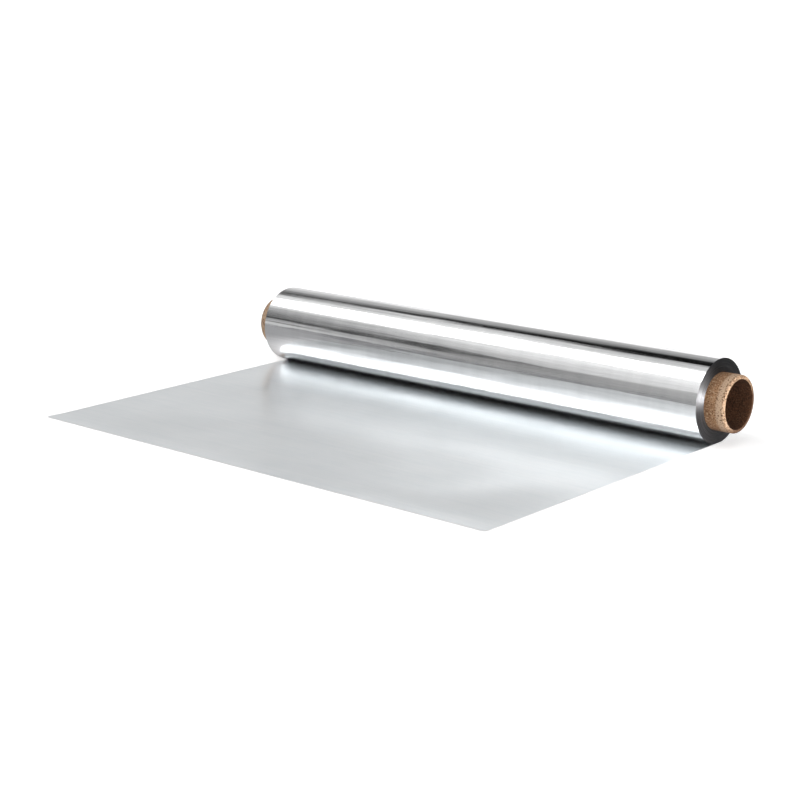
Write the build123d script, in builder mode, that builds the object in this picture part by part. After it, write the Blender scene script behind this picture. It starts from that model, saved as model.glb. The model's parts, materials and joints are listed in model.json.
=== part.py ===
"""A catering roll of aluminium foil on a paperboard core, with a length of foil unrolled flat in front.

The core lies along X. The roll rests on Z = 0 and the unrolled foil runs towards -Y.
The origin is on the table, below the core's axis, halfway along the foil.
"""
import math
import os

from build123d import *

# Paperboard core
core_bore_diameter = 38.0
core_wall = 3.0
core_overhang = 17.0
core_outer_edge_round = 2.0
core_bore_edge_round = 0.5

# Foil: width of the web, depth of the turns on the core, and the loose end's reach in front of the axis
foil_width = 450.0
wound_depth = 10.5
sheet_reach = 276.0
sheet_gauge = 0.2
sheet_corner_radius = 2.5

# The roll settles a little under its own weight, so it rests on a flat this wide
flat_spot_width = 8.0

# Turns that can be told apart on the ends of the roll, drawn as one spiral groove
visible_turns = 7
turn_groove_width = 0.35
turn_groove_depth = 0.3

bore_radius = core_bore_diameter / 2
core_radius = bore_radius + core_wall
core_length = foil_width + 2 * core_overhang
roll_radius = core_radius + wound_depth
flat_half = flat_spot_width / 2
axis_height = math.sqrt(roll_radius**2 - flat_half**2)

# The nip: the line where the loose foil's upper face meets the roll
nip_reach = math.sqrt(roll_radius**2 - (axis_height - sheet_gauge) ** 2)

# The groove starts level with the loose foil's upper face and winds inwards, ending half a pitch from the core
groove_height = sheet_gauge + turn_groove_width / 2
first_turn_radius = axis_height - groove_height
turn_pitch = (first_turn_radius - core_radius) / (visible_turns + 0.5)

# Its mouth lies where its upper side leaves the roll, above the loose foil
mouth_reach = math.sqrt(roll_radius**2 - (first_turn_radius - turn_groove_width / 2) ** 2)


# Core: the wall's section, rubbed at its corners, turned about the axis
with BuildPart() as core_tube:
    with BuildSketch(Plane.XZ):
        with Locations((0, axis_height + bore_radius)):
            Rectangle(core_length, core_wall, align=(Align.CENTER, Align.MIN))
        fillet(vertices().group_by(Axis.Y)[-1], radius=core_outer_edge_round)
        fillet(vertices().group_by(Axis.Y)[0], radius=core_bore_edge_round)
    revolve(axis=Axis((0, 0, axis_height), (1, 0, 0)))

core_tube.part.label = "core_tube"


# Web: the wound turns and the loose end, one outline swept along the core
with BuildPart() as foil_web:
    with BuildSketch(Plane.YZ):
        with BuildLine():
            under = Line((-sheet_reach, 0), (flat_half, 0))
            turn = ThreePointArc(under @ 1, (0, axis_height + roll_radius), (-nip_reach, sheet_gauge))
            over = Line(turn @ 1, (-sheet_reach, sheet_gauge))
            Line(over @ 1, under @ 0)
        make_face()
        with Locations((0, axis_height)):
            Circle(core_radius, mode=Mode.SUBTRACT)
    extrude(amount=foil_width / 2, both=True)

    # Front corners of the loose end
    front_corners = foil_web.edges().filter_by(Axis.Z).group_by(Axis.Y)[0]
    fillet(front_corners, radius=sheet_corner_radius)

    # Turns: half circles on two centres half a pitch apart make one smooth spiral, the same on both ends
    for side in (-1, 1):
        with BuildSketch(Plane.YZ.offset(side * foil_width / 2)):
            with BuildLine():
                lead = Line((-mouth_reach, groove_height), (0, groove_height))
                edge = lead @ 1
                for half_turn in range(2 * visible_turns):
                    across = 2 * first_turn_radius - half_turn * turn_pitch - turn_pitch / 2
                    rises = half_turn % 2 == 0
                    far_side = edge + Vector(0, across if rises else -across)
                    belly = (edge + far_side) / 2 + Vector(across / 2 if rises else -across / 2, 0)
                    edge = ThreePointArc(edge, belly, far_side) @ 1
            trace(line_width=turn_groove_width)
        extrude(amount=-side * turn_groove_depth, mode=Mode.SUBTRACT)

foil_web.part.label = "foil_web"


os.makedirs("parts", exist_ok=True)
export_step(core_tube.part, "parts/core_tube.step")
export_step(foil_web.part, "parts/foil_web.step")
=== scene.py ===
"""Looks of the foil roll: bright and satin foil, wound ends, a paperboard core and a plain studio.

Metres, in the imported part's own frame: the core lies along X, the table is Z = 0 and the loose foil runs
towards -Y.
"""
import json
import math

import bmesh
import bpy
from mathutils import Matrix, Vector


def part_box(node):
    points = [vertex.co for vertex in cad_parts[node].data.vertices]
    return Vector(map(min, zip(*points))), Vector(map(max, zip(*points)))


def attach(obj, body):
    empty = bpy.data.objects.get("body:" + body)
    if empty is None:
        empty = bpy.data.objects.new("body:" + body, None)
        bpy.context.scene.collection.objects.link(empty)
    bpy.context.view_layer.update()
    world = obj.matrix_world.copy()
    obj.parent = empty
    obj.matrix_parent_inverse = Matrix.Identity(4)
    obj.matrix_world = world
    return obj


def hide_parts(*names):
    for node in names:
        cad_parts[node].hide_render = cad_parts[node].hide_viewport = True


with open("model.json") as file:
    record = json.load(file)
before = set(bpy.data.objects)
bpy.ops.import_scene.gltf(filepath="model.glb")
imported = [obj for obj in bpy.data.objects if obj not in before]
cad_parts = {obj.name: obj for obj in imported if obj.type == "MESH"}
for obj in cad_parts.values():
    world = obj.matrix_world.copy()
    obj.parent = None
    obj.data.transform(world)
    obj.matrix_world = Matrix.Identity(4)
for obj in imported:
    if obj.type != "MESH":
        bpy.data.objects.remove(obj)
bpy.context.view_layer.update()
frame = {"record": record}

MM = 0.001

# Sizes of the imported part
web_low, web_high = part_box("foil_web")
core_low, core_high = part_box("core_tube")
mounts = {mount["name"]: mount for mount in frame["record"]["mounts"]}
foil_half_width = web_high[0]
roll_radius = web_high[1]
sheet_reach = -web_low[1]
core_half_length = core_high[0]
core_radius = (core_high[2] - core_low[2]) / 2
axis_height = (core_high[2] + core_low[2]) / 2
bore_radius = mounts["core_bore"]["dims"]["r_mm"] * MM

# Steps round the roll; the loose foil leaves it a few steps before the bottom, which sets the foil's gauge
turn_steps = 240
nip_steps = 5
step_angle = 2 * math.pi / turn_steps
foil_gauge = axis_height - roll_radius * math.cos(nip_steps * step_angle)

# Turns that show on the roll's ends, and the places across one turn's edge where the mesh has points
shown_turns = 12
turn_edge_places = (0.16, 0.5, 0.84)

# Loose foil: rounded front corners, mesh steps, and where it is free to lift
corner_radius = 2.5 * MM
width_steps = 96
even_spacing, edge_spacing = 0.72, 0.28
sheet_steps = 84
front_fine_steps = 8
free_after = 70 * MM

# Core: rounded edges of the cut ends, thickness of its plies, finishes and mesh steps
core_outer_round = 2.0 * MM
core_bore_round = 0.5 * MM
ply_thickness = 0.5 * MM
side_finish, cut_finish, bore_finish = range(3)
core_steps = 192
side_rings = 14
round_steps = 6
cut_rings = 12
bore_rings = 60

# Camera, fitted to the edges of the roll and the loose foil in the photograph
camera_azimuth = math.radians(41.826)
camera_elevation = math.radians(14.145)
camera_tilt = math.radians(-0.522)
camera_distance = 1.479
camera_aim = Vector((-0.0450, -0.0540, 0.0))
camera_lens = 80.97
camera_sensor = 36.0

# Painted shade: a darker brown painted on the lower back of the core, where shade falls
painted_shade_tone = (0.055, 0.024, 0.012)

# Studio floor, as the camera sees it and as the foil mirrors it
floor_half_width = 30.0
floor_drop = 0.1 * MM
floor_tone = (0.86, 0.86, 0.86)
mirrored_front_tone = (0.20, 0.20, 0.21)
mirrored_left_tone = (0.43, 0.43, 0.44)
mirrored_edge_tone = (0.95, 0.95, 0.96)
mirrored_right_tone = (0.06, 0.06, 0.06)
mirrored_back_tone = (0.60, 0.60, 0.61)
floor_glow = 0.5

# Studio light: the soft box along the roll, the panel in front, and the strength of the whole
far_soft_box = 1.4
soft_box = 7.0
near_soft_box = 5.5
front_panel_level = 2.1
studio_strength = 1.09

# Lamp off the near end
side_panel_place = (0.65, -0.05, 0.045)
side_panel_size = 0.07
side_panel_spread = math.radians(18)
side_panel_power = 0.06


# Node trees

class Wiring:
    """A node tree being wired, for geometry and for materials."""

    def __init__(self, tree):
        self.tree = tree

    def add(self, kind, **settings):
        node = self.tree.nodes.new(kind)
        for name, value in settings.items():
            setattr(node, name, value)
        return node

    def feed(self, socket, value):
        """Links an output to the socket, or sets the socket's own value."""
        if isinstance(value, bpy.types.NodeSocket):
            self.tree.links.new(value, socket)
        else:
            socket.default_value = value

    def math(self, operation, *values):
        node = self.add("ShaderNodeMath", operation=operation)
        for socket, value in zip(node.inputs, values):
            self.feed(socket, value)
        return node.outputs[0]

    def product(self, first, *others):
        for other in others:
            first = self.math("MULTIPLY", first, other)
        return first

    def mean(self, first, second):
        return self.product(self.math("ADD", first, second), 0.5)

    def vector(self, operation, *values):
        node = self.add("ShaderNodeVectorMath", operation=operation)
        for socket, value in zip(node.inputs, values):
            self.feed(socket, value)
        return node.outputs[0]

    def scaled(self, vector, factor):
        node = self.vector("SCALE", vector).node
        self.feed(node.inputs["Scale"], factor)
        return node.outputs[0]

    def combine(self, x=0.0, y=0.0, z=0.0):
        node = self.add("ShaderNodeCombineXYZ")
        for socket, value in zip(node.inputs, (x, y, z)):
            self.feed(socket, value)
        return node.outputs[0]

    def separate(self, vector):
        node = self.add("ShaderNodeSeparateXYZ")
        self.feed(node.inputs[0], vector)
        return node.outputs

    def remap(self, value, low, high, to_low=0.0, to_high=1.0, smooth=False):
        node = self.add("ShaderNodeMapRange", interpolation_type="SMOOTHSTEP" if smooth else "LINEAR")
        for name, given in zip(("Value", "From Min", "From Max", "To Min", "To Max"),
                               (value, low, high, to_low, to_high)):
            self.feed(node.inputs[name], given)
        return node.outputs["Result"]

    def noise(self, place, scale, detail=2.0, roughness=0.5, dimensions="3D", w=0.0):
        node = self.add("ShaderNodeTexNoise", noise_dimensions=dimensions)
        if dimensions != "1D":
            self.feed(node.inputs["Vector"], place)
        if dimensions in ("1D", "4D"):
            self.feed(node.inputs["W"], w)
        for name, given in (("Scale", scale), ("Detail", detail), ("Roughness", roughness)):
            self.feed(node.inputs[name], given)
        return node.outputs[0]

    def ramp(self, value, stops):
        """A colour ramp from a list of (position, grey or colour)."""
        node = self.add("ShaderNodeValToRGB")
        elements = node.color_ramp.elements
        while len(elements) < len(stops):
            elements.new(0.5)
        for element, (position, colour) in zip(elements, stops):
            element.position = position
            element.color = (colour,) * 3 + (1.0,) if isinstance(colour, float) else (*colour, 1.0)
        self.feed(node.inputs[0], value)
        return node.outputs["Color"]

    def blend(self, share, first, second):
        """Mixes two colours, each of them an output or (red, green, blue)."""
        node = self.add("ShaderNodeMix", data_type="RGBA")
        self.feed(node.inputs[0], share)
        for socket, colour in zip(node.inputs[6:8], (first, second)):
            self.feed(socket, (*colour, 1.0) if isinstance(colour, tuple) else colour)
        return node.outputs[2]


def new_group(kind, name, inputs, outputs):
    """A node group with its sockets; gives the wiring, the group's inputs and its output node."""
    tree = bpy.data.node_groups.new(name, kind)
    for direction, sockets in (("INPUT", inputs), ("OUTPUT", outputs)):
        for socket_name, socket_type, value in sockets:
            socket = tree.interface.new_socket(socket_name, in_out=direction, socket_type=socket_type)
            if value is not None:
                socket.default_value = value
    wiring = Wiring(tree)
    return wiring, wiring.add("NodeGroupInput").outputs, wiring.add("NodeGroupOutput")


def geometry_group(name, sizes):
    """A geometry tree whose inputs are a mesh, these named sizes and a seed."""
    inputs = [("Geometry", "NodeSocketGeometry", None)]
    inputs += [(size, "NodeSocketFloat", value) for size, value in sizes.items()]
    inputs += [("Seed", "NodeSocketFloat", 0.0)]
    wires, given, result = new_group("GeometryNodeTree", name, inputs, [("Geometry", "NodeSocketGeometry", None)])
    result.is_active_output = True
    return wires, given, result


def shader_group(name, sizes, masks):
    """A shader tree that takes a place and these named sizes and gives these masks."""
    inputs = [("Place", "NodeSocketVector", None)]
    inputs += [(size, "NodeSocketFloat", value) for size, value in sizes.items()]
    return new_group("ShaderNodeTree", name, inputs, [(mask, "NodeSocketFloat", None) for mask in masks])


def stored_mark(wires, name):
    """A number that the mesh carries at each point."""
    node = wires.add("GeometryNodeInputNamedAttribute", data_type="FLOAT")
    node.inputs["Name"].default_value = name
    return node.outputs["Attribute"]


def from_axis(wires, y, z):
    """Distance of a place from the core's axis."""
    rise = wires.math("SUBTRACT", z, axis_height)
    return wires.math("SQRT", wires.math("ADD", wires.product(y, y), wires.product(rise, rise)))


def run_tree(piece, tree, **sizes):
    """Puts the geometry tree on the piece with these input values and keeps the result as a plain mesh."""
    modifier = piece.modifiers.new(tree.name, "NODES")
    modifier.node_group = tree
    for item in tree.interface.items_tree:
        if item.in_out == "INPUT" and item.name in sizes:
            modifier[item.identifier] = sizes[item.name]
    evaluated = piece.evaluated_get(bpy.context.evaluated_depsgraph_get())
    mesh = bpy.data.meshes.new_from_object(evaluated)
    piece.modifiers.remove(modifier)
    plain = piece.data
    piece.data = mesh
    bpy.data.meshes.remove(plain)
    mesh.name = piece.name


# Foil web mesh

def roll_point(step, floor):
    """Y and Z on the outside of the roll, counted from the bottom towards the back, no lower than the floor."""
    angle = step * step_angle
    return roll_radius * math.sin(angle), max(axis_height - roll_radius * math.cos(angle), floor)


def core_seat_point(step):
    angle = step * step_angle
    return core_radius * math.sin(angle), axis_height - core_radius * math.cos(angle)


def turn_line(step, turns_in):
    """Y and Z on the line between two turns; the line winds inwards, one turn's depth in each time round."""
    outer = roll_point(step, foil_gauge)
    seat = core_seat_point(step)
    share = (turns_in + step / turn_steps) / (shown_turns + 0.5)
    return tuple(a + (b - a) * share for a, b in zip(outer, seat))


def width_places():
    """X across the foil, closer together near its two edges."""
    places = []
    for i in range(width_steps + 1):
        even = 2 * i / width_steps - 1
        places.append(foil_half_width * (even_spacing * even + edge_spacing * math.sin(even * math.pi / 2)))
    return places


def sheet_places():
    """Y of the rows of the loose foil, from its front edge to the nip, finer where the corners are round."""
    nip = roll_point(-nip_steps, foil_gauge)[0]
    front = [-sheet_reach + corner_radius * (i / front_fine_steps) ** 2 for i in range(front_fine_steps)]
    start = -sheet_reach + corner_radius
    rest = [start + (nip - start) * i / sheet_steps for i in range(sheet_steps + 1)]
    return front + rest


def within_corner(x, y):
    """X drawn in where the row at Y crosses the rounded front corners."""
    inside = y + sheet_reach
    if inside >= corner_radius:
        return x
    drop = corner_radius - math.sqrt(max(corner_radius**2 - (corner_radius - inside) ** 2, 0.0))
    start = foil_half_width - 2 * corner_radius
    beyond = abs(x) - start
    if beyond <= 0:
        return x
    return math.copysign(start + beyond * (1 - drop / (2 * corner_radius)), x)


class FoilPatches:
    """Grids of quads with the marks that the settling tree reads; shared edges are welded at the end."""

    bright, satin, edge = 0, 1, 2
    marks = ("end", "turn", "ridge", "groove", "free", "skin")
    crisp_angle = math.radians(40)
    weld_distance = 1e-6

    def __init__(self):
        self.mesh = bmesh.new()
        self.layers = {mark: self.mesh.verts.layers.float.new(mark) for mark in self.marks}
        self.uv = self.mesh.loops.layers.uv.new("web")

    def lay(self, rows, uv_rows, finish, mark_rows=None, **marks):
        grid = []
        for r, row in enumerate(rows):
            line = []
            for c, point in enumerate(row):
                vertex = self.mesh.verts.new(point)
                for mark, value in marks.items():
                    vertex[self.layers[mark]] = value
                if mark_rows:
                    for mark, value in mark_rows[r][c].items():
                        vertex[self.layers[mark]] = value
                line.append(vertex)
            grid.append(line)
        for r in range(len(rows) - 1):
            for c in range(len(rows[r]) - 1):
                corners = ((r, c), (r, c + 1), (r + 1, c + 1), (r + 1, c))
                face = self.mesh.faces.new([grid[i][j] for i, j in corners])
                face.material_index = finish
                face.smooth = True
                for loop, (i, j) in zip(face.loops, corners):
                    loop[self.uv].uv = uv_rows[i][j]

    def finished(self, name):
        bmesh.ops.remove_doubles(self.mesh, verts=self.mesh.verts[:], dist=self.weld_distance)
        bmesh.ops.recalc_face_normals(self.mesh, faces=self.mesh.faces[:])
        for edge in self.mesh.edges:
            edge.smooth = edge.calc_face_angle(math.pi) < self.crisp_angle
        data = bpy.data.meshes.new(name)
        self.mesh.to_mesh(data)
        self.mesh.free()
        return data


def web_mesh():
    """The web as one closed skin: under the loose foil, round the roll, over the loose foil, and its two ends."""
    patches = FoilPatches()
    across = width_places()
    rows = sheet_places()
    nip = roll_point(-nip_steps, foil_gauge)[0]

    def lay_band(places, finish, **marks):
        """A band across the foil through these (y, z, way along the web) places."""
        points = [[(within_corner(x, y), y, z) for x in across] for y, z, way in places]
        uvs = [[(x, way) for x in across] for y, z, way in places]
        freedom = [[{"free": freedom_at(y)} for x in across] for y, z, way in places]
        patches.lay(points, uvs, finish, freedom, **marks)

    def freedom_at(y):
        return min(max((nip - y) / free_after, 0.0), 1.0)

    under_nip = [roll_point(step, 0.0)[0] for step in range(1 - nip_steps, 1)]
    lay_band([(y, 0.0, y) for y in rows + under_nip], patches.bright)
    lay_band([(y, foil_gauge, y) for y in rows], patches.satin)
    front = rows[0]
    lay_band([(front, 0.0, front), (front, foil_gauge, front)], patches.satin)
    way_per_step = roll_radius * step_angle
    outside = [(*roll_point(step, 0.0 if step < turn_steps / 2 else foil_gauge), step * way_per_step)
               for step in range(turn_steps - nip_steps + 1)]
    lay_band(outside, patches.bright, skin=1.0)

    for end in (-1.0, 1.0):
        x = end * foil_half_width
        lay_turn_edges(patches, x, end)
        strip = [[(within_corner(x, y), y, z) for y in rows + under_nip] for z in (0.0, foil_gauge)]
        strip_uv = [[(y, z) for y in rows + under_nip] for z in (0.0, foil_gauge)]
        freedom = [[{"free": freedom_at(y)} for y in rows + under_nip] for z in (0.0, foil_gauge)]
        patches.lay(strip, strip_uv, patches.satin, freedom)

    ends = (-foil_half_width, foil_half_width)
    seat = [[(x, *core_seat_point(step)) for step in range(turn_steps + 1)] for x in ends]
    seat_uv = [[(x, step * way_per_step) for step in range(turn_steps + 1)] for x in ends]
    patches.lay(seat, seat_uv, patches.edge)
    return patches.finished("foil_web_dressed")


def lay_turn_edges(patches, x, end):
    """The end of the roll: the cut edges of its turns, from the outermost turn in to the core."""
    steps = range(turn_steps + 1)

    def line_at(turns_in):
        if turns_in < 0:
            return [roll_point(step, 0.0 if step < turn_steps / 2 else foil_gauge) for step in steps]
        if turns_in > shown_turns:
            return [core_seat_point(step) for step in steps]
        return [turn_line(step, turns_in) for step in steps]

    for turns_in in range(-1, shown_turns + 1):
        outer, inner = line_at(turns_in), line_at(turns_in + 1)
        rows, uvs, marks = [], [], []
        for place in (0.0, *turn_edge_places, 1.0):
            points = [tuple(a + (b - a) * place for a, b in zip(o, i)) for o, i in zip(outer, inner)]
            radii = [math.hypot(y, z - axis_height) for y, z in points]
            on_rim = turns_in < 0 and place == 0.0
            on_seat = turns_in == shown_turns and place == 1.0
            line = 0.0 if on_rim or on_seat or place not in (0.0, 1.0) else 1.0
            ridge = 1.0 if place in turn_edge_places else 0.0
            rows.append([(x, y, z) for y, z in points])
            uvs.append([(radius, step * step_angle * roll_radius) for step, radius in zip(steps, radii)])
            marks.append([{"turn": turns_in + 1 + step / turn_steps, "ridge": ridge, "groove": line}
                          for step in steps])
        patches.lay(rows, uvs, patches.edge, marks, end=end)


def dress_by_finish(wires, geometry, finishes, result):
    """Closes a geometry tree: one whole mesh, with each face's finish set by its material number."""
    whole = wires.add("GeometryNodeRealizeInstances")
    wires.feed(whole.inputs["Geometry"], geometry)
    dressed = whole.outputs["Geometry"]
    number = wires.add("GeometryNodeInputMaterialIndex").outputs[0]
    for place, finish in enumerate(finishes):
        chosen = wires.add("FunctionNodeCompare", data_type="INT", operation="EQUAL")
        wires.feed(chosen.inputs[2], number)
        wires.feed(chosen.inputs[3], place)
        coat = wires.add("GeometryNodeSetMaterial")
        coat.inputs["Material"].default_value = finish
        wires.feed(coat.inputs["Selection"], chosen.outputs[0])
        wires.feed(coat.inputs["Geometry"], dressed)
        dressed = coat.outputs["Geometry"]
    wires.feed(result.inputs["Geometry"], dressed)


def settling_tree(finishes):
    """Geometry tree that settles the plain web: turns stand in and out, the loose foil swells, the skin ripples."""
    wires, given, result = geometry_group("settled_foil", {
        "Stagger": 0.15 * MM, "Groove Depth": 0.12 * MM, "Swell Height": 0.8 * MM, "Swell Length": 120 * MM,
        "Front Curl": 0.9 * MM, "Curl Length": 24 * MM, "Ripple": 0.08 * MM})
    x, y, z = wires.separate(wires.add("GeometryNodeInputPosition").outputs[0])

    # Turn edges: each turn stands in or out by its own amount, and the lines between turns lie deeper
    noise_per_turn = 3.7
    along = wires.math("ADD", wires.product(stored_mark(wires, "turn"), noise_per_turn), given["Seed"])
    wander = wires.remap(wires.noise(None, 1.0, 2.0, 0.6, "1D", along), 0.3, 0.7, -1.0, 1.0)
    stand = wires.product(wander, stored_mark(wires, "ridge"), given["Stagger"])
    sink = wires.product(stored_mark(wires, "groove"), given["Groove Depth"])
    out = wires.product(wires.math("SUBTRACT", stand, sink), stored_mark(wires, "end"))

    # Loose foil: soft swells that rise off the table, and edges that lie down
    lying_margin = 60 * MM
    over_table = wires.combine(wires.math("DIVIDE", x, given["Swell Length"]),
                               wires.math("DIVIDE", y, given["Swell Length"]), given["Seed"])
    swell = wires.remap(wires.noise(over_table, 1.0, 1.0, 0.4), 0.36, 0.72, smooth=True)
    inside = wires.math("SUBTRACT", foil_half_width, wires.math("ABSOLUTE", x))
    from_front = wires.math("ADD", y, sheet_reach)
    lying = wires.product(wires.remap(inside, 0.0, lying_margin, smooth=True),
                          wires.remap(from_front, 0.0, lying_margin, smooth=True))
    lift = wires.product(swell, lying, given["Swell Height"])

    # Its front turns up a little, more in some places than in others
    waves_per_metre = 6.0
    seed_apart = 5.0
    bent = wires.math("POWER", wires.remap(from_front, given["Curl Length"], 0.0), 2.0)
    own_seed = wires.math("ADD", given["Seed"], seed_apart)
    front_place = wires.combine(wires.product(x, waves_per_metre), 0.0, own_seed)
    uneven = wires.remap(wires.noise(front_place, 1.0, 1.0), 0.35, 0.65, 0.2, 1.0)
    curl = wires.product(bent, uneven, given["Front Curl"])
    up = wires.product(wires.math("ADD", lift, curl), stored_mark(wires, "free"))

    # Skin of the roll: faint ripples that run along the core
    ripple_stretch = 1.2
    ripple_scale = 9.0
    angle = wires.math("ARCTAN2", wires.math("SUBTRACT", z, axis_height), y)
    ripple_place = wires.combine(wires.product(x, ripple_stretch), wires.math("COSINE", angle),
                                 wires.math("SINE", angle))
    ripple_noise = wires.noise(ripple_place, ripple_scale, 2.0, 0.5, "4D", given["Seed"])
    ripple = wires.product(wires.remap(ripple_noise, 0.25, 0.75, -1.0, 1.0), given["Ripple"],
                           stored_mark(wires, "skin"))
    outwards = wires.scaled(wires.add("GeometryNodeInputNormal").outputs[0], ripple)

    settled = wires.add("GeometryNodeSetPosition")
    wires.feed(settled.inputs["Geometry"], given["Geometry"])
    wires.feed(settled.inputs["Offset"], wires.vector("ADD", wires.combine(out, 0.0, up), outwards))
    dress_by_finish(wires, settled.outputs["Geometry"], finishes, result)
    return wires.tree


# Materials

def new_material(name):
    """A material with a Principled BSDF; gives the material, its wiring and the shader."""
    material = bpy.data.materials.new(name)
    material.use_nodes = True
    wires = Wiring(material.node_tree)
    shader = next(node for node in material.node_tree.nodes if node.type == "BSDF_PRINCIPLED")
    return material, wires, shader


def bump(wires, height, strength, distance):
    node = wires.add("ShaderNodeBump")
    wires.feed(node.inputs["Strength"], strength)
    wires.feed(node.inputs["Distance"], distance)
    wires.feed(node.inputs["Height"], height)
    return node.outputs["Normal"]


def rolling_lines_group():
    """Marks on the foil: mill lines and bands along it, streaks across it from the winding, and soft clouds."""
    wires, given, result = shader_group("rolling_lines", {"Fine": 1800.0, "Broad": 90.0},
                                        ("Lines", "Bands", "Streaks", "Clouds"))
    x, y = wires.separate(given["Place"])[:2]

    def lay_mark(name, across, along, layer, detail, roughness):
        """A noise with so many steps to the metre across and along the foil, in a layer of its own."""
        place = wires.combine(wires.product(x, across), wires.product(y, along), layer)
        wires.feed(result.inputs[name], wires.noise(place, 1.0, detail, roughness))

    lay_mark("Lines", given["Fine"], 14.0, 0.0, 3.0, 0.6)
    lay_mark("Bands", given["Broad"], 4.0, 3.0, 3.0, 0.55)
    lay_mark("Streaks", 7.0, 320.0, 8.0, 4.0, 0.6)
    lay_mark("Clouds", 28.0, 60.0, 12.0, 4.0, 0.6)
    return wires.tree


def place_group(wires, tree, **values):
    node = wires.add("ShaderNodeGroup")
    node.node_tree = tree
    for name, value in values.items():
        wires.feed(node.inputs[name], value)
    return node.outputs


def web_place(wires):
    node = wires.add("ShaderNodeUVMap")
    node.uv_map = "web"
    return node.outputs[0]


def across_tangent(wires):
    node = wires.add("ShaderNodeTangent", direction_type="UV_MAP")
    node.uv_map = "web"
    return node.outputs[0]


def finish_foil(wires, shader, tone, roughness, relief, metallic, anisotropy):
    """Sets what all sides of the foil share: metal whose shine is drawn out one way."""
    wires.feed(shader.inputs["Base Color"], tone)
    wires.feed(shader.inputs["Roughness"], roughness)
    wires.feed(shader.inputs["Normal"], relief)
    wires.feed(shader.inputs["Tangent"], across_tangent(wires))
    shader.inputs["Metallic"].default_value = metallic
    shader.inputs["Anisotropic"].default_value = anisotropy


def bright_foil(rolling_lines):
    """The foil's bright side, outside on the roll: a mirror with faint drawn streaks."""
    material, wires, shader = new_material("bright_foil")
    mill = place_group(wires, rolling_lines, Place=web_place(wires))
    drawn = wires.mean(mill["Streaks"], mill["Bands"])
    tone = wires.blend(wires.remap(drawn, 0.4, 0.6), (0.805, 0.810, 0.816), (0.890, 0.893, 0.897))
    roughness = wires.remap(mill["Lines"], 0.3, 0.7, 0.09, 0.13)
    relief = bump(wires, mill["Streaks"], 1.0, 0.12 * MM)
    finish_foil(wires, shader, tone, roughness, relief, metallic=1.0, anisotropy=0.9)
    return material


def satin_foil(rolling_lines):
    """The foil's satin side, uppermost on the loose foil."""
    material, wires, shader = new_material("satin_foil")
    mill = place_group(wires, rolling_lines, Place=web_place(wires))
    mottle = wires.mean(mill["Streaks"], mill["Clouds"])
    tone = wires.blend(wires.remap(mottle, 0.35, 0.65), (0.870, 0.908, 0.928), (0.948, 0.972, 0.985))
    roughness = wires.remap(mill["Lines"], 0.3, 0.7, 0.275, 0.295)
    relief = bump(wires, mill["Streaks"], 0.12, 0.08 * MM)
    finish_foil(wires, shader, tone, roughness, relief, metallic=0.97, anisotropy=0.3)
    shader.inputs["Anisotropic Rotation"].default_value = 0.25
    return material


def turn_edge_foil():
    """Cut edges of the foil, packed side by side on the roll's ends."""
    layers_per_metre = 5200.0
    breaks_per_metre = 20.0
    material, wires, shader = new_material("turn_edge_foil")
    radius, way = wires.separate(web_place(wires))[:2]
    layer_place = wires.combine(wires.product(way, breaks_per_metre), wires.product(radius, layers_per_metre))
    layers = wires.noise(layer_place, 1.0, 3.0, 0.65)
    tone = wires.ramp(layers, [(0.3, (0.085, 0.085, 0.09)), (0.5, (0.165, 0.165, 0.17)),
                               (0.72, (0.31, 0.31, 0.315))])
    roughness = wires.remap(layers, 0.3, 0.7, 0.55, 0.48)
    relief = bump(wires, layers, 0.25, 0.05 * MM)
    finish_foil(wires, shader, tone, roughness, relief, metallic=1.0, anisotropy=0.88)
    return material


def paper_fibres_group():
    """Mottled kraft paper: soft clouds, fibres drawn out along the core, and pale and dark flecks."""
    fibre_squeeze = 0.35
    wires, given, result = shader_group(
        "paper_fibres", {"Cloud Scale": 110.0, "Fibre Scale": 900.0, "Fleck Scale": 950.0},
        ("Cloud", "Fibres", "Pale Flecks", "Dark Flecks"))
    place = given["Place"]
    x, y, z = wires.separate(place)
    drawn_out = wires.combine(wires.product(x, fibre_squeeze), y, z)
    flecks = wires.noise(place, given["Fleck Scale"], 2.0, 0.5)
    wires.feed(result.inputs["Cloud"], wires.noise(place, given["Cloud Scale"], 4.0, 0.6))
    wires.feed(result.inputs["Fibres"], wires.noise(drawn_out, given["Fibre Scale"], 4.0, 0.7))
    wires.feed(result.inputs["Pale Flecks"], wires.remap(flecks, 0.56, 0.64))
    wires.feed(result.inputs["Dark Flecks"], wires.remap(flecks, 0.44, 0.37))
    return wires.tree


def spiral_seam_group():
    """The line where one wound paper strip meets the next, as a mask that winds along the tube."""
    whole_turns = 100.0
    wires, given, result = shader_group("spiral_seam", {"Lead": 0.105, "Width": 0.8 * MM, "Start": 0.0}, ("Seam",))
    x, y, z = wires.separate(given["Place"])
    angle = wires.math("ARCTAN2", y, wires.math("SUBTRACT", z, axis_height))
    way = wires.math("ADD", wires.math("DIVIDE", x, given["Lead"]), wires.math("DIVIDE", angle, 2 * math.pi))
    way = wires.math("FRACT", wires.math("ADD", wires.math("ADD", way, given["Start"]), whole_turns))
    off = wires.product(wires.math("ABSOLUTE", wires.math("SUBTRACT", way, 0.5)), given["Lead"])
    wires.feed(result.inputs["Seam"], wires.remap(off, given["Width"], 0.0, smooth=True))
    return wires.tree


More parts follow.
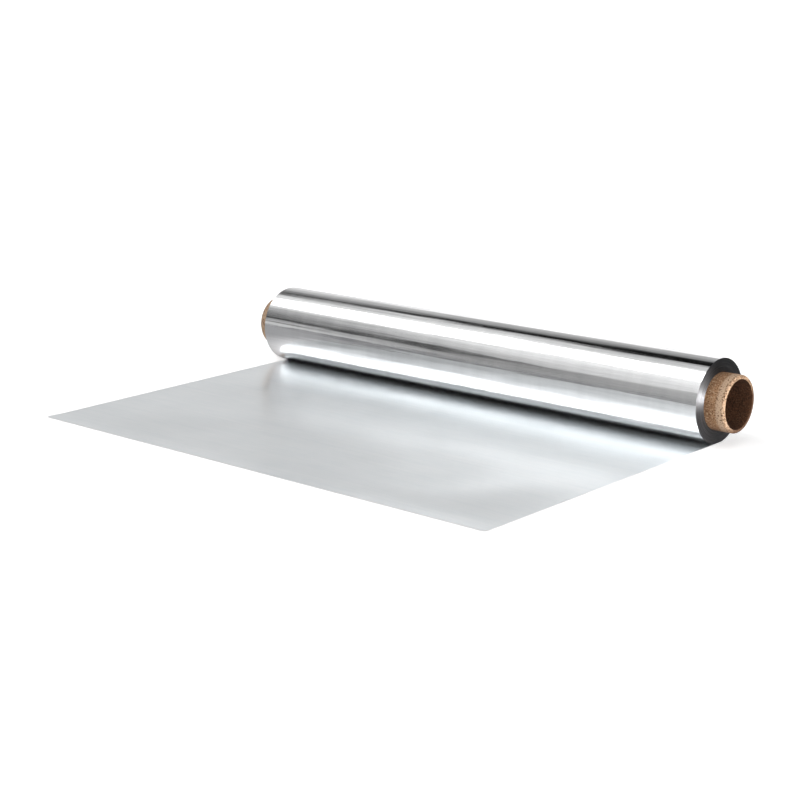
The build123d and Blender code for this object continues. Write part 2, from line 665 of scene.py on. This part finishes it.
def kraft(name, paper_fibres, browns, flecks, fleck_share, roughness, fibre_depth):
    """Raw kraft paper in two browns with pale and dark flecks; gives also what its finishes go on with."""
    roughness_spread = 0.08
    material, wires, shader = new_material(name)
    place = wires.add("ShaderNodeTexCoord").outputs["Object"]
    paper = place_group(wires, paper_fibres, Place=place)
    tone = wires.ramp(wires.mean(paper["Cloud"], paper["Fibres"]), [(0.36, browns[0]), (0.64, browns[1])])
    for fleck_name, fleck_tone in zip(("Pale Flecks", "Dark Flecks"), flecks):
        tone = wires.blend(wires.product(paper[fleck_name], fleck_share), tone, fleck_tone)
    rough = wires.remap(paper["Fibres"], 0.3, 0.7, roughness - roughness_spread, roughness + roughness_spread)
    wires.feed(shader.inputs["Roughness"], rough)
    shader.inputs["Specular IOR Level"].default_value = 0.25
    wires.feed(shader.inputs["Normal"], bump(wires, paper["Fibres"], 0.5, fibre_depth))
    return material, wires, shader, place, paper, tone


def painted_shade_share(wires, place, paper, most):
    """A patchy mask of painted shade on the lower back of the core's ends, darker towards the back and the bottom.
    """
    patchiness = 8 * MM
    shade_from_middle = 20 * MM
    x, y, z = wires.separate(place)
    low_behind = wires.math("SUBTRACT", y, wires.math("SUBTRACT", z, axis_height))
    patchy = wires.math("ADD", low_behind, wires.product(paper["Cloud"], patchiness))
    return wires.remap(patchy, 0.0, shade_from_middle, 0.0, most)


def kraft_side(paper_fibres, spiral_seam):
    """The core's outside, with its spiral seam, rubbed pale towards the cut ends, with painted shade on its lower
    back.
    """
    rub_start = core_half_length - 6.2 * MM
    rub_full = core_half_length - 3.4 * MM
    rub_fray = 4 * MM
    material, wires, shader, place, paper, tone = kraft(
        "kraft_side", paper_fibres, ((0.178, 0.092, 0.047), (0.338, 0.185, 0.098)),
        ((0.48, 0.34, 0.21), (0.05, 0.025, 0.012)), 0.7, 0.85, 0.06 * MM)
    x = wires.separate(place)[0]
    from_middle = wires.math("ADD", wires.math("ABSOLUTE", x), wires.product(paper["Fibres"], rub_fray))
    rubbed = wires.remap(from_middle, rub_start, rub_full, smooth=True)
    rubbed = wires.product(rubbed, wires.math("SUBTRACT", 1.0, paper["Dark Flecks"]))
    tone = wires.blend(rubbed, tone, (0.44, 0.310, 0.210))
    # Painted shade: the paper is darkened towards the lower back
    tone = wires.blend(painted_shade_share(wires, place, paper, 0.75), tone, painted_shade_tone)
    seam = place_group(wires, spiral_seam, Place=place)["Seam"]
    tone = wires.blend(wires.product(seam, 0.6), tone, (0.09, 0.048, 0.025))
    wires.feed(shader.inputs["Base Color"], tone)
    return material


def kraft_cut_end(paper_fibres):
    """The core's cut ends: pale, speckled, with a fine dark line between plies and painted shade on their lower
    back.
    """
    material, wires, shader, place, paper, tone = kraft(
        "kraft_cut_end", paper_fibres, ((0.17, 0.100, 0.056), (0.36, 0.238, 0.150)),
        ((0.42, 0.31, 0.22), (0.030, 0.012, 0.006)), 0.95, 0.9, 0.12 * MM)
    x, y, z = wires.separate(place)
    depth = wires.math("SUBTRACT", from_axis(wires, y, z), bore_radius)
    ply = wires.math("FRACT", wires.math("DIVIDE", depth, ply_thickness))
    gap = wires.remap(wires.math("ABSOLUTE", wires.math("SUBTRACT", ply, 0.5)), 0.36, 0.5)
    tone = wires.blend(wires.product(gap, 0.45), tone, (0.10, 0.055, 0.030))
    # Painted shade: the cut end is darkened towards the lower back
    tone = wires.blend(painted_shade_share(wires, place, paper, 0.9), tone, painted_shade_tone)
    wires.feed(shader.inputs["Base Color"], tone)
    return material


def kraft_bore(paper_fibres, spiral_seam):
    """The inside of the core, dark brown paper with its own seam."""
    material, wires, shader, place, paper, tone = kraft(
        "kraft_bore", paper_fibres, ((0.037, 0.0135, 0.0052), (0.088, 0.034, 0.0140)),
        ((0.11, 0.06, 0.032), (0.008, 0.004, 0.002)), 0.7, 0.85, 0.06 * MM)
    seam = place_group(wires, spiral_seam, Place=place, Start=0.37)["Seam"]
    tone = wires.blend(wires.product(seam, 0.7), tone, (0.006, 0.003, 0.0015))
    wires.feed(shader.inputs["Base Color"], tone)
    return material


# Core mesh

def core_section():
    """Half of the wall's section as (x, radius, finish), from the middle out along the side and back inside."""
    cut_top = core_radius - core_outer_round
    cut_foot = bore_radius + core_bore_round
    quarter = [i / round_steps * math.pi / 2 for i in range(round_steps + 1)]
    half = [(0.0, core_radius, side_finish)]
    hidden = foil_half_width - 2 * MM
    shoulder = core_half_length - core_outer_round
    half += [(hidden + (shoulder - hidden) * i / side_rings, core_radius, side_finish) for i in range(side_rings)]
    half += [(shoulder + core_outer_round * math.sin(turn), cut_top + core_outer_round * math.cos(turn), cut_finish)
             for turn in quarter]
    half += [(core_half_length, cut_top + (cut_foot - cut_top) * i / cut_rings, cut_finish)
             for i in range(1, cut_rings)]
    half += [(core_half_length - core_bore_round * (1 - math.cos(turn)),
              bore_radius + core_bore_round * (1 - math.sin(turn)), cut_finish) for turn in quarter]
    mouth = half[-1][0]
    half += [(mouth * (1 - i / bore_rings), bore_radius, bore_finish) for i in range(1, bore_rings + 1)]
    return half


def core_mesh():
    """The paperboard tube: the wall's section turned about the axis, with a mark on its cut ends."""
    half = core_section()
    section = half + [(-x, radius, finish) for x, radius, finish in reversed(half[1:-1])]
    mesh = bmesh.new()
    cut_mark = mesh.verts.layers.float.new("cut")
    rings = []
    for x, radius, finish in section:
        ring = []
        for step in range(core_steps):
            angle = 2 * math.pi * step / core_steps
            vertex = mesh.verts.new((x, radius * math.sin(angle), axis_height + radius * math.cos(angle)))
            vertex[cut_mark] = math.copysign(1.0, x) if finish == cut_finish else 0.0
            ring.append(vertex)
        rings.append(ring)
    for i, ring in enumerate(rings):
        following = (i + 1) % len(rings)
        finish = section[i][2] if section[i][2] != cut_finish else section[following][2]
        for step in range(core_steps):
            beside = (step + 1) % core_steps
            face = mesh.faces.new((ring[step], ring[beside], rings[following][beside], rings[following][step]))
            face.material_index = finish
            face.smooth = True
    bmesh.ops.recalc_face_normals(mesh, faces=mesh.faces[:])
    data = bpy.data.meshes.new("core_tube_dressed")
    mesh.to_mesh(data)
    mesh.free()
    return data


def worn_core_tree(finishes):
    """Geometry tree that wears the core's cut ends: plies stand in and out a little and the fibres fray."""
    wires, given, result = geometry_group("worn_core", {
        "Ply Depth": 0.18 * MM, "Ply Thickness": ply_thickness, "Fray": 0.10 * MM, "Fibre Length": 1.4 * MM})
    place = wires.add("GeometryNodeInputPosition").outputs[0]
    x, y, z = wires.separate(place)
    end = stored_mark(wires, "cut")
    depth = wires.math("SUBTRACT", from_axis(wires, y, z), bore_radius)
    ply = wires.math("DIVIDE", depth, given["Ply Thickness"])
    ply_place = wires.math("ADD", ply, wires.math("ADD", given["Seed"], end))
    ply_noise = wires.noise(None, 1.0, 0.0, 0.5, "1D", ply_place)
    step_in = wires.product(wires.remap(ply_noise, 0.3, 0.7, -1.0, 0.0), given["Ply Depth"])
    fibre_place = wires.scaled(place, wires.math("DIVIDE", 1.0, given["Fibre Length"]))
    fibre_noise = wires.noise(fibre_place, 1.0, 2.0, 0.6, "4D", given["Seed"])
    fray = wires.product(wires.remap(fibre_noise, 0.25, 0.75, -1.0, 0.0), given["Fray"])
    along = wires.product(wires.math("ADD", step_in, fray), end)
    worn = wires.add("GeometryNodeSetPosition")
    wires.feed(worn.inputs["Geometry"], given["Geometry"])
    wires.feed(worn.inputs["Offset"], wires.combine(along))
    dress_by_finish(wires, worn.outputs["Geometry"], finishes, result)
    return wires.tree


# Pieces

def new_piece(name, data):
    piece = bpy.data.objects.new(name, data)
    bpy.context.scene.collection.objects.link(piece)
    return piece


rolling_lines = rolling_lines_group()
foil_finishes = (bright_foil(rolling_lines), satin_foil(rolling_lines), turn_edge_foil())
foil_web = new_piece("foil_web_dressed", web_mesh())
for finish in foil_finishes:
    foil_web.data.materials.append(finish)
run_tree(foil_web, settling_tree(foil_finishes), Seed=2.0)
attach(foil_web, "root")
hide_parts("foil_web")

paper_fibres = paper_fibres_group()
spiral_seam = spiral_seam_group()
core_finishes = (kraft_side(paper_fibres, spiral_seam), kraft_cut_end(paper_fibres),
                 kraft_bore(paper_fibres, spiral_seam))
core_tube = new_piece("core_tube_dressed", core_mesh())
for finish in core_finishes:
    core_tube.data.materials.append(finish)
run_tree(core_tube, worn_core_tree(core_finishes), Seed=4.0)
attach(core_tube, "root")
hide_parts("core_tube")


# Studio

def pale_floor():
    """A wide plain floor, a hair below the foil; the foil mirrors it as a dimmer table."""
    half = floor_half_width
    mesh = bpy.data.meshes.new("pale_floor")
    corners = [(-half, -half, 0), (half, -half, 0), (half, half, 0), (-half, half, 0)]
    mesh.from_pydata(corners, [], [(0, 1, 2, 3)])
    floor = new_piece("pale_floor", mesh)
    floor.location.z = -floor_drop
    material, wires, shader = new_material("pale_floor")
    mirrored = wires.add("ShaderNodeLightPath").outputs["Is Glossy Ray"]
    x, y, z = wires.separate(wires.add("ShaderNodeTexCoord").outputs["Object"])

    # The mirrored table: a dark strip aslant under the front, pale strips by the sheet's front and the far end
    strip_slant = 1.15
    front_strip = 0.16
    far_strip = 0.07
    near_strip = 0.06
    aslant = wires.math("SUBTRACT", x, wires.product(y, strip_slant))
    before = wires.product(wires.remap(y, -sheet_reach - front_strip, -sheet_reach, 0.0, 0.3),
                           wires.remap(aslant, -0.03, 0.10))
    nearer = wires.math("POWER", wires.remap(x, -foil_half_width - far_strip, -foil_half_width), 2.2)
    beside = wires.product(nearer, wires.remap(y, -0.12, -0.03))
    dimmed = mirrored_left_tone
    for share, tone in ((wires.remap(aslant, -0.06, 0.03), mirrored_front_tone),
                        (wires.remap(aslant, 0.25, 0.75), mirrored_left_tone),
                        (before, mirrored_edge_tone),
                        (beside, mirrored_edge_tone),
                        (wires.remap(y, 0.1, 0.6), mirrored_back_tone),
                        (wires.remap(x, foil_half_width, foil_half_width + near_strip), mirrored_right_tone)):
        dimmed = wires.blend(share, dimmed, tone)
    wires.feed(shader.inputs["Base Color"], wires.blend(mirrored, floor_tone, dimmed))
    shader.inputs["Roughness"].default_value = 0.9
    shader.inputs["Specular IOR Level"].default_value = 0.1
    shader.inputs["Emission Color"].default_value = (1.0, 1.0, 1.0, 1.0)
    wires.feed(shader.inputs["Emission Strength"], wires.remap(mirrored, 0.0, 1.0, floor_glow, 0.0))
    mesh.materials.append(material)


def studio_light():
    """A studio built round the core's line: a soft box overhead, a dark gap behind it, a back wall, a dim front.

    Each list gives the light at a turn about the core, in degrees: 0 in front, 90 overhead, 180 behind.
    The lists follow each other along the core, and each takes over between two values of the direction's x.
    """
    far_end = [(0, 0.67), (9, 0.62), (14, 0.44), (18, 0.15), (20, 0.06), (25, 0.045), (28, 0.07), (31, 0.11),
               (42, 0.20), (48, 0.28), (54, 0.41), (60, 0.61), (66, 0.90), (72, 1.2), (75, far_soft_box),
               (84, far_soft_box), (92, 0.82), (102, 0.72), (110, 0.50), (114, 0.28), (117, 0.10), (122, 0.08),
               (126, 0.14), (132, 0.27), (140, 0.43), (150, 0.57), (166, 0.70), (180, 0.88)]
    middle = [(0, 0.24), (9, 0.155), (14, 0.11), (17, 0.06), (19, 0.02), (23.5, 0.015), (24.5, 0.15), (26, 0.42),
              (30, 0.47), (36, 0.62), (45, 0.78), (52, 0.88), (57, 0.98), (62, 1.2), (68, soft_box),
              (86, soft_box), (89, 1.2), (95, 0.95), (102, 0.80), (110, 0.67), (115, 0.56), (117, 0.04),
              (118.5, 0.0), (125, 0.0), (127, 0.06), (132, 0.22), (140, 0.34), (150, 0.44), (157, 0.56),
              (161, 1.05), (180, 1.35)]
    near_end = [(0, 0.33), (5, 0.36), (9, 0.42), (15, 0.45), (20, 0.50), (24, 0.63), (30, 0.68), (39, 0.74),
                (48, 0.85), (54, 0.94), (60, 1.15), (66, near_soft_box), (80, near_soft_box), (88, 0.80),
                (98, 0.62), (104, 0.55), (108, 0.40), (109, 0.02), (111, 0.0), (124, 0.0), (126, 0.03),
                (129, 0.10), (132, 0.20), (140, 0.36), (150, 0.43), (160, 0.56), (163, 1.2), (180, 1.4)]
    front_panel = [(0, 0.2), (18, 0.3), (28, front_panel_level), (60, front_panel_level), (66, near_soft_box),
                   (80, near_soft_box), (88, 0.80), (104, 0.55), (108, 0.40), (109, 0.02), (111, 0.0),
                   (124, 0.0), (132, 0.20), (150, 0.43), (160, 0.56), (163, 2.4), (180, 2.6)]
    past_near_end = [(0, 0.30), (45, 0.5), (60, 0.9), (66, 1.8), (80, 1.8), (90, 0.5), (112, 0.08), (180, 0.05)]
    along_core = [(0, 0.40), (50, 0.50), (90, 0.62), (130, 0.50), (180, 0.55)]

    world = bpy.data.worlds.new("studio")
    world.use_nodes = True
    bpy.context.scene.world = world
    wires = Wiring(world.node_tree)
    x, y, z = wires.separate(wires.add("ShaderNodeTexCoord").outputs["Generated"])
    turn = wires.math("DIVIDE", wires.math("ARCTAN2", z, wires.product(y, -1.0)), math.pi)

    def light_round(stops):
        return wires.ramp(turn, [(degrees / 180, float(level)) for degrees, level in stops])

    glow = light_round(far_end)
    for start, full, stops in ((-0.70, -0.613, middle), (-0.600, -0.560, near_end), (-0.46, -0.40, front_panel),
                               (-0.36, -0.22, past_near_end), (-0.82, -0.95, along_core),
                               (0.72, 0.86, along_core)):
        glow = wires.blend(wires.remap(x, start, full), glow, light_round(stops))
    background = world.node_tree.nodes["Background"]
    wires.feed(background.inputs["Color"], glow)
    background.inputs["Strength"].default_value = studio_strength


def side_panel():
    """A low soft lamp off the near end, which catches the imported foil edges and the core's cut end."""
    lamp = bpy.data.lights.new("side_panel", "AREA")
    lamp.shape = "RECTANGLE"
    lamp.size = side_panel_size
    lamp.size_y = side_panel_size
    lamp.spread = side_panel_spread
    lamp.energy = side_panel_power
    holder = new_piece("side_panel", lamp)
    holder.visible_camera = False
    holder.location = side_panel_place
    aim = Vector((foil_half_width, 0.0, axis_height)) - Vector(side_panel_place)
    holder.rotation_euler = aim.to_track_quat("-Z", "Y").to_euler()


def photo_camera():
    """The camera that fits the photograph."""
    data = bpy.data.cameras.new("camera")
    data.lens = camera_lens
    data.sensor_width = camera_sensor
    camera = new_piece("camera", data)
    back = Vector((math.sin(camera_azimuth) * math.cos(camera_elevation),
                   -math.cos(camera_azimuth) * math.cos(camera_elevation), math.sin(camera_elevation)))
    level_right = Vector((math.cos(camera_azimuth), math.sin(camera_azimuth), 0.0))
    level_up = back.cross(level_right)
    right = math.cos(camera_tilt) * level_right + math.sin(camera_tilt) * level_up
    up = back.cross(right)
    turned = Matrix((right, up, back)).transposed().to_4x4()
    camera.matrix_world = Matrix.Translation(camera_aim + back * camera_distance) @ turned
    bpy.context.scene.camera = camera


pale_floor()
studio_light()
side_panel()
photo_camera()
bpy.context.scene.view_settings.view_transform = "Standard"
